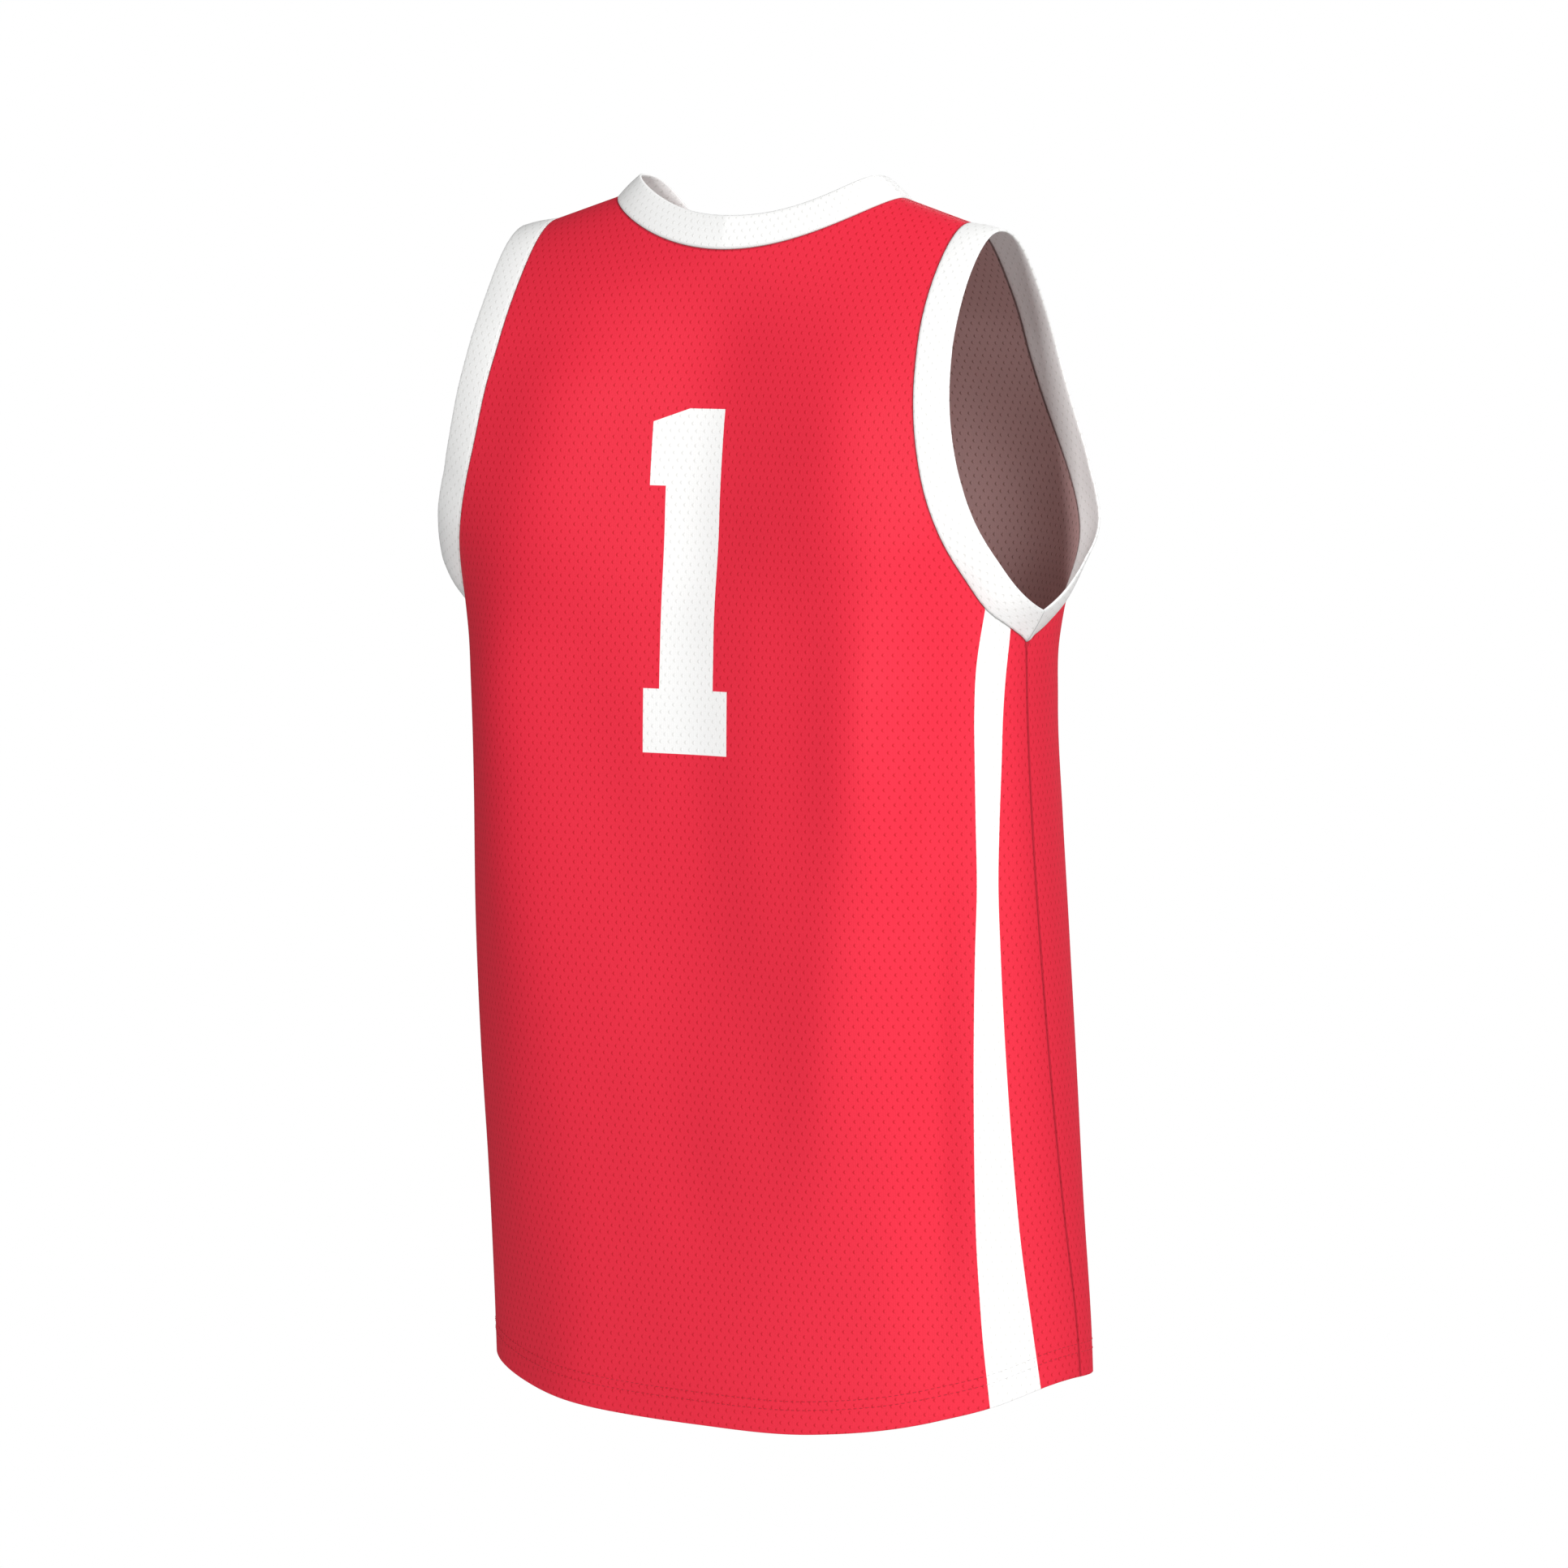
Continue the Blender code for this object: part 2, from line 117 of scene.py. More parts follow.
# Folds: soft ridges (rise above zero) and troughs (below), the part's own; the first ten are on the back
FOLD_COLUMNS = ("side", "top_x", "top_height", "foot_x", "foot_height", "half_width", "rise")
FOLDS = np.array([
    (1, 0.087, -0.030, 0.142, -0.384, 0.046, 0.0079),
    (1, -0.004, -0.033, -0.016, -0.270, 0.044, -0.0058),
    (1, 0.013, -0.126, -0.029, -0.605, 0.046, -0.0070),
    (1, -0.159, -0.144, -0.085, -0.695, 0.031, 0.0064),
    (1, -0.175, -0.228, -0.159, -0.770, 0.018, -0.0095),
    (1, 0.151, -0.156, 0.140, -0.752, 0.033, 0.0067),
    (1, 0.166, -0.392, 0.089, -0.790, 0.037, -0.0028),
    (1, -0.105, -0.030, -0.138, -0.454, 0.040, 0.0065),
    (1, 0.071, -0.247, -0.023, -0.743, 0.034, -0.0026),
    (1, 0.126, -0.241, 0.100, -0.775, 0.039, 0.0077),
    (-1, 0.100, -0.060, 0.135, -0.430, 0.042, 0.0070),
    (-1, 0.000, -0.130, 0.020, -0.480, 0.044, -0.0060),
    (-1, -0.110, -0.090, -0.140, -0.480, 0.040, 0.0065),
    (-1, 0.120, -0.250, 0.095, -0.785, 0.036, 0.0070),
    (-1, 0.160, -0.300, 0.150, -0.785, 0.022, -0.0050),
    (-1, -0.060, -0.280, -0.035, -0.785, 0.032, -0.0055),
    (-1, -0.125, -0.330, -0.105, -0.785, 0.036, 0.0070),
    (-1, -0.168, -0.240, -0.158, -0.640, 0.018, -0.0050),
    (-1, 0.030, -0.420, 0.055, -0.785, 0.034, -0.0045),
])
LOWEST_FOLD_FOOT = -0.770      # a fold that reaches below this runs out through the hem
FOLD_END = 0.3                 # share of its length over which a fold rises and dies away
SEAM_CALM = 0.12               # share of the half width, next to a side seam, over which folds die away

# Sizes of the looks -------------------------------------------------------------------
COLUMNS = 84                   # of half a panel's grid
NECK_COLUMNS = 56
BODY_ROWS = 118
YOKE_ROWS = 84
BAND_STRIPS = 8
PANEL_CLOTH = 0.0011
BAND_CLOTH = 0.0017
ROLL_LIMIT = 0.6               # most of the way to the next grid point that a rolled edge draws in
TINY = 1e-9                    # keeps a length of zero from being divided by
SHADING_WEIGHT = 80            # pull of the large faces on the shading
SEAM_FILL = 6                  # places on each grid step of a seam from which distances are measured
MITRE_FILL = 12                # the same on a mitre
BAND_CROWN = 0.0006            # how far a band swells between its seam and its edge
UNDERARM_CROWN = 0.0016        # what that swelling gains low down, short of the mitre
CROWN_RUN = 0.045              # length of seam over which it gains that
MITRE_OUT = 0.0126             # from the underarm to the inner corner of the band's mitre: outwards,
MITRE_UP = 0.0200              # upwards
MITRE_LEAN = -0.001            # and, below zero, to the front
MITRE_RUN = 0.054              # length of seam over which the band's free edge is led to that corner
HEADING_POINTS = 3             # grid points that give the edge's heading there
CORNER_POINTS = 12             # points of the curve that leads to the corner

# Places where the cloth's girth and length are measured, and between which its coordinates are looked up
GIRTH_HEIGHTS = np.linspace(-0.80, 0.02, 165)
GIRTH_ACROSS = np.linspace(0.0, 1.0, 240)
LENGTH_ACROSS = np.linspace(0.0, 1.0, 60)
LENGTH_FALLS = np.linspace(0.0, 0.92, 300)

HEM_STITCH_HEIGHTS = (0.0155, 0.0210)
STITCH_PITCH = 0.0039
STITCH_LENGTH = 0.0024
STITCH_RADIUS = 0.00022
STITCH_SIDES = 6
STITCH_LINE_END = 0.9995       # across value, just short of the side seam
STITCH_LINE_POINTS = 1600

# Rings of a stitch: share of its length, and lift off the cloth and radius as shares of the thread's radius
STITCH_RINGS = (
    (0.0, -0.3, 0.6),
    (0.2, 0.7, 1.0),
    (0.8, 0.7, 1.0),
    (1.0, -0.3, 0.6),
)

EYELET_PITCH = 0.0061          # across
EYELET_ROW = 0.0046            # up; every other row is shifted by half the pitch
WALE_PITCH = 0.0015

# Strokes of the knit, in millimetres: offset across, lean, half width, half height
EYELET_STROKE = (0.45, -0.55, 0.68, 1.35)
# The raised stroke sits at one side of each eyelet and carries a painted highlight as well as relief
RAISED_STROKE = (-0.65, -0.25, 0.55, 1.0)
STROKE_FULLNESS = 1.15         # above 1, so that a stroke reaches its full depth before its middle

GRAIN_SCALE = 1400.0
GRAIN_DETAIL = 3.0
PATCH_SCALE = 18.0
LEAST_LEVEL = 0.94             # of the cloth's colour, to which the grain adds
GRAIN_SHADE = 0.12
WALE_SHADE = 0.012
PATCH_SHADE = 0.02
RAISED_PAINTED_HIGHLIGHT = -0.06           # below zero: a painted highlight, lighter, on the raised yarn at one side of each eyelet
SEAM_SHADOW_WIDTH = 0.9                # half width of the painted shade along a seam's groove, in millimetres
SEAM_SOFTNESS = 0.6
# Painted shade along an armhole band's mitre, standing in for the shade of its fold: half width, softness and
# share lost
MITRE_SHADOW_WIDTH = 0.55
MITRE_SOFTNESS = 0.5
MITRE_PAINTED_SHADE = 0.35
PRINT_SOFTNESS = 0.3           # of the side stripe's edges, in millimetres
NUMBER_SOFTNESS = 0.0003       # of the number's edges, in metres
EYELET_RELIEF = -0.7           # shares of the relief's full height
RAISED_RELIEF = 0.25
GRAIN_RELIEF = 0.3
WALE_RELIEF = 0.06
RELIEF_STRENGTH = 0.4
RELIEF_HEIGHT = 0.0003
CLOTH_ROUGHNESS = 0.6
CLOTH_SPECULAR = 0.25
THREAD_SHADE = 0.8             # darkest share of a thread's colour, between its twists
TWIST_SCALE = 4000.0

# White side stripe on the back: distance of its two edges from the side seam at each height, and how much
# closer to the seam it runs on the wearer's left
STRIPE_COLUMNS = ("height", "near_edge", "far_edge", "left_pull")
STRIPE = np.array([
    (-0.780, 0.0310, 0.0660, 0.020),
    (-0.740, 0.0346, 0.0689, 0.023),
    (-0.700, 0.0378, 0.0702, 0.026),
    (-0.660, 0.0386, 0.0680, 0.026),
    (-0.620, 0.0378, 0.0643, 0.025),
    (-0.540, 0.0356, 0.0567, 0.021),
    (-0.460, 0.0328, 0.0487, 0.015),
    (-0.420, 0.0310, 0.0446, 0.010),
    (-0.380, 0.0274, 0.0426, 0.006),
    (-0.340, 0.0233, 0.0409, 0.003),
    (-0.310, 0.0208, 0.0398, 0.001),
    (-0.290, 0.0186, 0.0385, 0.000),
    (-0.270, 0.0158, 0.0359, 0.000),
    (-0.250, 0.0129, 0.0324, 0.000),
    (-0.200, 0.0080, 0.0260, 0.000),
])

# Number on the back, in the cloth's own coordinates: left of the centre line, up from the underarm level
NUMBER_CENTRE = -0.0008
NUMBER_TOP = 0.1405
NUMBER_FOOT = -0.0740
STEM_HALF_WIDTH = 0.0204
SLAB_HALF_WIDTH = 0.0319
SLAB_HEIGHT = 0.0400
FLAG_REACH = 0.0315
FLAG_HEIGHT = 0.0483
FLAG_SLANT_START = 0.0064
FLAG_SLANT_DROP = 0.0086

# Colours of the cloth, and of the painted shade in the bottoms of its eyelets
RED = (0.825, 0.0235, 0.0545, 1.0)
RED_EYELET_SHADOW = (0.56, 0.0065, 0.0160, 1.0)
WHITE = (0.95, 0.95, 0.942, 1.0)
WHITE_EYELET_SHADOW = (0.77, 0.77, 0.745, 1.0)
REVERSE = (0.66, 0.435, 0.425, 1.0)
REVERSE_EYELET_SHADOW = (0.33, 0.185, 0.150, 1.0)
RED_THREAD = (0.56, 0.014, 0.034, 1.0)
WHITE_THREAD = (0.80, 0.80, 0.79, 1.0)

# Stage; azimuth 0 is in front of the jersey, at -Y, and 90 on the wearer's left
VIEW_AZIMUTH = 215.0
VIEW_ELEVATION = 4.7
VIEW_DISTANCE = 5.306
AIM = (-0.0117, -0.0082, -0.3680)
SENSOR_WIDTH = 36.0
LENS = 193.8
FARTHEST_SEEN = 50.0
JERSEY_MIDDLE = (0.0, -0.02, -0.38)
LIGHT_DISTANCE = 3.2
LIGHT_COLUMNS = ("name", "azimuth", "elevation", "size", "power")
LIGHTS = (
    ("left key light", 190.0, 22.0, 0.35, 59.0),
    ("right key light", 250.0, 22.0, 1.6, 66.0),
    ("side fill", 316.0, 37.0, 1.6, 26.0),
    ("front light", 15.0, 25.0, 2.0, 26.0),
)
WORLD_LIGHT = 0.125
FLOOR_RADIUS = 1.3
FLOOR_HEIGHT = -1.25
FLOOR_PATCH_SCALE = 6.0

BACK, FRONT = 1, -1
SECTION_SPACING = 2 / 2.3


# The form of the garment, as in the part ------------------------------------------------
def unit(vectors):
    return vectors / np.linalg.norm(vectors, axis=-1, keepdims=True)


def smooth(position, stations, values):
    """Value at a position on the smooth curve through a table's column."""
    slopes = np.gradient(values, stations)
    left = np.clip(np.searchsorted(stations, position) - 1, 0, len(stations) - 2)
    step = stations[left + 1] - stations[left]
    t = np.clip((position - stations[left]) / step, 0.0, 1.0)
    rise = values[left + 1] - values[left]
    start = slopes[left] * step
    end = slopes[left + 1] * step
    return values[left] + t * start + t**2 * (3 * rise - 2 * start - end) + t**3 * (start + end - 2 * rise)


def section(column, height):
    index = SECTION_COLUMNS.index(column)
    return smooth(height, SECTIONS[:, 0], SECTIONS[:, index])


def out_fraction(across):
    """Share of the half width reached at an across value: 0 on the centre line, 1 at a side seam."""
    return np.sin(np.clip(np.abs(across), 0.0, 1.0) * math.pi / 2) ** SECTION_SPACING


def across_at(x, height):
    fraction = np.clip(x / section("half_width", height), 0.0, 1.0)
    return np.arcsin(fraction ** (1 / SECTION_SPACING)) * 2 / math.pi


def shoulder_height(across):
    yoke_half_width = SECTIONS[-1, 1]
    return SHOULDER_SLOPE * (NECK_HALF_WIDTH - yoke_half_width * out_fraction(across))


def fall_at(across, height):
    """Distance down the cloth from the shoulder seam to a height."""
    drop = np.maximum(shoulder_height(across) - height, 0.0)
    rounded = SHOULDER_ROUNDING * np.arccos(np.clip(1 - drop / SHOULDER_ROUNDING, 0.0, 1.0))
    straight = drop + SHOULDER_ROUNDING * (math.pi / 2 - 1)
    return np.where(drop < SHOULDER_ROUNDING, rounded, straight)


def ease(share):
    """Smooth step from 0 to 1."""
    share = np.clip(share, 0.0, 1.0)
    return share * share * (3 - 2 * share)


def fold_rise(side, x, height):
    """How far the folds lift the cloth off the plain form at a point."""
    total = np.zeros_like(x)
    for row in FOLDS:
        fold = dict(zip(FOLD_COLUMNS, row))
        if fold["side"] != side:
            continue
        along = (height - fold["top_height"]) / (fold["foot_height"] - fold["top_height"])
        axis_x = fold["top_x"] + (fold["foot_x"] - fold["top_x"]) * along
        runs_out = fold["foot_height"] < LOWEST_FOLD_FOOT
        ends = np.minimum(ease(along / FOLD_END), ease((1 - along) / FOLD_END + runs_out))
        total += fold["rise"] * ends * np.exp(-((x - axis_x) / fold["half_width"]) ** 2)
    share_out = np.abs(x) / section("half_width", height)
    return total * ease((1 - share_out) / SEAM_CALM)


def form(side, across, fall):
    """Points in the middle of the cloth; across runs from -1, the right side seam, to 1, the left."""
    angle = np.clip(fall / SHOULDER_ROUNDING, 0.0, math.pi / 2)
    beyond = np.maximum(fall - SHOULDER_ROUNDING * math.pi / 2, 0.0)
    height = shoulder_height(across) - SHOULDER_ROUNDING * (1 - np.cos(angle)) - beyond
    fraction = out_fraction(across)
    half_width = section("half_width", height)
    side_y = section("side_y", height)
    middle_y = section("back_y" if side == BACK else "front_y", height)
    power = section("back_power" if side == BACK else "front_power", height)
    bulge = np.maximum(1 - fraction**power, 0.0) ** (1 / power)
    x = np.sign(across) * half_width * fraction
    y = side_y + (middle_y - side_y) * bulge
    out_x = x / half_width**2
    out_y = (y - side_y) / (middle_y - side_y) ** 2
    lift = fold_rise(side, x, height) * np.sin(angle) / np.hypot(out_x, out_y)
    y = y * np.sin(angle)
    return np.stack([x + lift * out_x, y + lift * out_y, height], axis=-1)


def outward(side, across, fall):
    """Directions square to the form, out of the garment."""
    left = form(side, np.minimum(across + SLOPE_STEP, 1.0), fall)
    right = form(side, np.maximum(across - SLOPE_STEP, -1.0), fall)
    below = form(side, across, fall + SLOPE_STEP)
    above = form(side, across, np.maximum(fall - SLOPE_STEP, 0.0))
    normal = side * np.cross(left - right, below - above)
    on_side_seam = np.abs(across) > 1 - ON_EDGE
    on_shoulder_seam = fall < ON_EDGE
    normal[on_side_seam | on_shoulder_seam, 1] = 0.0
    return unit(normal)


def evenly(side, across, fall, count):
    """The same outline stretch with points at even distances along the cloth."""
    points = form(side, across, fall)
    steps = np.linalg.norm(np.diff(points, axis=0), axis=1)
    travelled = np.concatenate([[0.0], np.cumsum(steps)])
    wanted = np.linspace(0.0, travelled[-1], count + 1)
    return np.interp(wanted, travelled, across), np.interp(wanted, travelled, fall)


def neck_height(side, x):
    """Neck seam: a shallow curve at the back and a deeper scoop at the front."""
    inward = 1 - (x / NECK_HALF_WIDTH) ** 2
    if side == BACK:
        return -BACK_NECK_DROP * inward
    return -FRONT_NECK_DROP * inward**FRONT_NECK_ROUNDNESS


def top_edge(side):
    """Neck seam from the centre line to the shoulder, then the shoulder seam out to the armhole."""
    neck_x = NECK_HALF_WIDTH * np.sin(np.linspace(0.0, math.pi / 2, EDGE_SAMPLES))
    neck_x[-1] = NECK_HALF_WIDTH
    neck_z = neck_height(side, neck_x)
    neck_across = across_at(neck_x, neck_z)
    neck = evenly(side, neck_across, fall_at(neck_across, neck_z), NECK_COLUMNS)
    tip_across = across_at(ARMHOLE[-1, 1], ARMHOLE[-1, 0])
    shoulder_across = np.linspace(neck_across[-1], tip_across, EDGE_SAMPLES)
    shoulder = evenly(side, shoulder_across, np.zeros(EDGE_SAMPLES), COLUMNS - NECK_COLUMNS)
    return np.concatenate([neck[0], shoulder[0][1:]]), np.concatenate([neck[1], shoulder[1][1:]])


def armhole_edge(side):
    """Armhole seam from the underarm up to the shoulder seam."""
    column = ARMHOLE_COLUMNS.index("back_x" if side == BACK else "front_x")
    heights = np.linspace(UNDERARM_HEIGHT, ARMHOLE[-1, 0], EDGE_SAMPLES)
    across = across_at(smooth(heights, ARMHOLE[:, 0], ARMHOLE[:, column]), heights)
    across[0] = 1.0
    fall = fall_at(across, heights)
    fall[-1] = 0.0
    return evenly(side, across, fall, YOKE_ROWS)


def hem_height(side, across):
    column = HEM_COLUMNS.index("back_height" if side == BACK else "front_height")
    return smooth(np.sign(across) * out_fraction(across), HEM[:, 0], HEM[:, column])


def body_grid(side):
    """Across and fall below the underarms: rows from the hem up, columns from right to left."""
    across = np.linspace(-1.0, 1.0, 2 * COLUMNS + 1)
    share = np.linspace(0.0, 1.0, BODY_ROWS + 1)[:, None]
    height = hem_height(side, across) * (1 - share) + UNDERARM_HEIGHT * share
    across = np.broadcast_to(across, height.shape)
    return across, fall_at(across, height)


def yoke_grid(side):
    """Across and fall above the underarms, blended between the four edges of the left half."""
    u = np.linspace(0.0, 1.0, COLUMNS + 1)[None, :]
    v = np.linspace(0.0, 1.0, YOKE_ROWS + 1)[:, None]
    low = (u[0], fall_at(u[0], UNDERARM_HEIGHT))
    centre_height = np.linspace(UNDERARM_HEIGHT, neck_height(side, 0.0), YOKE_ROWS + 1)
    centre = (np.zeros(YOKE_ROWS + 1), fall_at(np.zeros(YOKE_ROWS + 1), centre_height))
    halves = []
    for bottom, top, inner, outer in zip(low, top_edge(side), centre, armhole_edge(side)):
        between_rows = (1 - v) * bottom + v * top
        between_columns = (1 - u) * inner[:, None] + u * outer[:, None]
        corners = (1 - v) * ((1 - u) * bottom[0] + u * bottom[-1]) + v * ((1 - u) * top[0] + u * top[-1])
        halves.append(between_rows + between_columns - corners)
    across, fall = halves
    return np.hstack([-across[:, :0:-1], across]), np.hstack([fall[:, :0:-1], fall])


# The cloth's own coordinates ------------------------------------------------------------
def look_up(table, rows, columns, row, column):
    """Value between the entries of a table with evenly spaced rows and columns."""
    r = np.clip((row - rows[0]) / (rows[1] - rows[0]), 0, len(rows) - 1.001)
    c = np.clip((column - columns[0]) / (columns[1] - columns[0]), 0, len(columns) - 1.001)
    i = r.astype(int)
    j = c.astype(int)
    r = r - i
    c = c - j
    low = table[i, j] * (1 - c) + table[i, j + 1] * c
    high = table[i + 1, j] * (1 - c) + table[i + 1, j + 1] * c
    return low * (1 - r) + high * r


def running_length(points):
    """Distance travelled along the second axis of a grid of points."""
    steps = np.linalg.norm(np.diff(points, axis=1), axis=2)
    return np.concatenate([np.zeros((len(points), 1)), np.cumsum(steps, axis=1)], axis=1)


def cloth_coordinates(side, across, fall):
    """Distance out from the centre line, up from the underarm level, and in from the side seam."""
    height = form(side, across, fall)[..., 2]
    out = np.abs(across)
    height_grid, out_grid = np.meshgrid(GIRTH_HEIGHTS, GIRTH_ACROSS, indexing="ij")
    girth = running_length(form(side, out_grid, fall_at(out_grid, height_grid)))
    from_centre = look_up(girth, GIRTH_HEIGHTS, GIRTH_ACROSS, height, out)
    half_girth = look_up(girth, GIRTH_HEIGHTS, GIRTH_ACROSS, height, np.ones_like(out))

    out_grid, fall_grid = np.meshgrid(LENGTH_ACROSS, LENGTH_FALLS, indexing="ij")
    length = running_length(form(side, out_grid, fall_grid))
    down = look_up(length, LENGTH_ACROSS, LENGTH_FALLS, out, fall)
    underarm = look_up(length, LENGTH_ACROSS, LENGTH_FALLS, out, fall_at(across, UNDERARM_HEIGHT))
    return np.sign(across) * from_centre, underarm - down, half_girth - from_centre


# Panels ---------------------------------------------------------------------------------
def panel_surface(side):
    """Everything known at each grid point of a panel, from the hem up and from right to left."""
    body = body_grid(side)
    yoke = yoke_grid(side)
    across = np.concatenate([body[0], yoke[0][1:]])
    fall = np.concatenate([body[1], yoke[1][1:]])
    return {
        "across": across,
        "fall": fall,
        "points": form(side, across, fall),
        "normals": outward(side, across, fall),
    }


def distance_to(points, line):
    """Distance from every grid point to the nearest point of a line, in metres."""
    tree = KDTree(len(line))
    for index, place in enumerate(line):
        tree.insert(place, index)
    tree.balance()
    flat = points.reshape(-1, 3)
    return np.array([tree.find(place)[2] for place in flat]).reshape(points.shape[:2])


def densely(line, fill):
    """Points along a line of points, so many for each of its steps."""
    share = np.arange(fill)[:, None, None] / fill
    filled = line[:-1] * (1 - share) + line[1:] * share
    return filled.transpose(1, 0, 2).reshape(-1, 3)


def stripe_depth(across, height, from_side):
    """How far inside the side stripe a point lies, below zero outside it."""
    here = {name: smooth(height, STRIPE[:, 0], column) for name, column in zip(STRIPE_COLUMNS, STRIPE.T)}
    from_side = from_side + np.where(across > 0, here["left_pull"], 0.0)
    return np.minimum(from_side - here["near_edge"], here["far_edge"] - from_side)


def panel_facts(side, surface):
    """Cloth coordinates and the distances that the print and the seams are drawn by."""
    across, fall, points = surface["across"], surface["fall"], surface["points"]
    from_centre, up, from_side = cloth_coordinates(side, across, fall)
    height = points[..., 2]
    sewn_edges = (points[:, 0], points[:, -1], points[-1])
    seams = np.concatenate([densely(edge, SEAM_FILL) for edge in sewn_edges])
    return {
        "uv": np.stack([from_centre, up], axis=-1),
        "stripe": stripe_depth(across, height, from_side),
        "seam": distance_to(points, seams),
        "mitre": np.ones_like(height),
    }


# Meshes of cloth ------------------------------------------------------------------------
def grid_faces(rows, columns, wrap):
    row = np.arange(rows - 1)[:, None]
    column = np.arange(columns if wrap else columns - 1)[None, :]
    low = row * columns
    high = low + columns
    after = (column + 1) % columns
    corners = np.broadcast_arrays(low + column, low + after, high + after, high + column)
    return np.stack(corners, axis=-1).reshape(-1, 4)


def boundary_loops(rows, columns, wrap):
    """Grid positions round each open edge of a grid."""
    index = np.arange(rows * columns).reshape(rows, columns)
    if wrap:
        return [index[0], index[-1]]
    return [np.concatenate([index[0, :-1], index[:-1, -1], index[-1, :0:-1], index[:0:-1, 0]])]


def inner_neighbours(rows, columns, wrap):
    """For each grid position, the position one step in from the edge."""
    row = np.clip(np.arange(rows), 1, rows - 2)[:, None]
    column = np.arange(columns) if wrap else np.clip(np.arange(columns), 1, columns - 2)
    return (row * columns + column[None, :]).ravel()


def shell_points(middle, normal, thickness, edge, neighbours):
    """Points of a shell's outer face, inner face and rim; both faces draw in where they roll over the rim."""
    inwards = middle[neighbours] - middle
    length = np.linalg.norm(inwards, axis=1, keepdims=True)
    roll = np.minimum(thickness / 2, length[edge] * ROLL_LIMIT)
    drawn_in = np.zeros_like(middle)
    drawn_in[edge] = (inwards / np.maximum(length, TINY))[edge] * roll
    outer = middle + normal * thickness / 2 + drawn_in
    inner = middle - normal * thickness / 2 + drawn_in
    return np.concatenate([outer, inner, middle[edge]])


def rim_faces(loops, size):
    """Faces round the open edges, in pairs: from the outer face to the rim, and on to the inner face."""
    faces = []
    first = 2 * size
    for loop in loops:
        after = np.roll(loop, -1)
        rim = first + np.arange(len(loop))
        rim_after = np.roll(rim, -1)
        outer_half = np.stack([loop, after, rim_after, rim], axis=-1)
        inner_half = np.stack([rim, rim_after, after + size, loop + size], axis=-1)
        faces.append(np.stack([outer_half, inner_half], axis=1).reshape(-1, 4))
        first += len(loop)
    return np.concatenate(faces)


def new_mesh(name, vertices, faces, materials, material_index):
    mesh = bpy.data.meshes.new(name)
    mesh.from_pydata(vertices, [], faces)
    for material in materials:
        mesh.materials.append(material)
    mesh.polygons.foreach_set("material_index", material_index.astype(np.int32))
    return mesh


def new_object(name, data):
    made = bpy.data.objects.new(name, data)
    bpy.context.scene.collection.objects.link(made)
    return made


def cloth_piece(name, points, normals, thickness, facts, materials, wrap=False):
    """A thin shell with rolled edges; its inner face and the inner half of its rim take the last material."""
    rows, columns = points.shape[:2]
    size = rows * columns
    loops = boundary_loops(rows, columns, wrap)
    edge = np.concatenate(loops)
    neighbours = inner_neighbours(rows, columns, wrap)
    vertices = shell_points(points.reshape(-1, 3), normals.reshape(-1, 3), thickness, edge, neighbours)
    outer = grid_faces(rows, columns, wrap)
    inner = outer[:, ::-1] + size
    rim = rim_faces(loops, size)
    faces = np.concatenate([outer, inner, rim])
    is_inner = np.concatenate([np.zeros(len(outer)), np.ones(len(inner)), np.arange(len(rim)) % 2])

    mesh = new_mesh(name, vertices.tolist(), faces.tolist(), materials, is_inner * (len(materials) - 1))
    add_facts(mesh, np.concatenate([np.arange(size), np.arange(size), edge]), facts)
    face_out(mesh)
    mesh.shade_smooth()
    piece = new_object(name, mesh)
    weighted = piece.modifiers.new("even shading", "WEIGHTED_NORMAL")
    weighted.weight = SHADING_WEIGHT
    return piece


def face_out(mesh):
    """Turns every face of a closed mesh outwards."""
    solid = bmesh.new()
    solid.from_mesh(mesh)
    bmesh.ops.recalc_face_normals(solid, faces=solid.faces)
    solid.to_mesh(mesh)
    solid.free()


def add_facts(mesh, source, facts):
    """Writes the cloth coordinates as a UV map and every other fact as an attribute in millimetres."""
    uv = facts["uv"].reshape(-1, 2)[source]
    corner_vertex = np.empty(len(mesh.loops), dtype=np.int32)
    mesh.loops.foreach_get("vertex_index", corner_vertex)
    layer = mesh.uv_layers.new(name="cloth")
    layer.data.foreach_set("uv", uv[corner_vertex].astype(np.float32).ravel())
    for key, values in facts.items():
        if key == "uv":
            continue
        attribute = mesh.attributes.new(f"{key}_mm", "FLOAT", "POINT")
        attribute.data.foreach_set("value", (values.ravel()[source] * 1000).astype(np.float32))


# Bands ----------------------------------------------------------------------------------
def merged_loop(first, second):
    """A closed loop from two open ones that share both ends, where the two are averaged."""
    start = (first[:1] + second[:1]) / 2
    end = (first[-1:] + second[-1:]) / 2
    return np.concatenate([start, first[1:-1], end, second[-2:0:-1]])


def neck_loop(surfaces, key):
    """Neck seam, from the right shoulder along the back to the left one and round the front."""
    stretch = slice(COLUMNS - NECK_COLUMNS, COLUMNS + NECK_COLUMNS + 1)
    return merged_loop(surfaces[BACK][key][-1, stretch], surfaces[FRONT][key][-1, stretch])


def armhole_loop(surfaces, key, hand):
    """Armhole seam of one side, from the underarm up the back to the shoulder and down the front."""
    column = -1 if hand > 0 else 0
    return merged_loop(surfaces[BACK][key][BODY_ROWS:, column], surfaces[FRONT][key][BODY_ROWS:, column])


def band_directions(loop, normals, turn, away):
    """Directions in which a band leaves its seam; turn lifts the band off the panel's slope."""
    tangent = np.roll(loop, -1, axis=0) - np.roll(loop, 1, axis=0)
    reach = unit(np.cross(tangent, normals))
    reach *= np.sign(np.sum(reach * away, axis=1, keepdims=True))
    return unit(reach + turn[:, None] * normals)


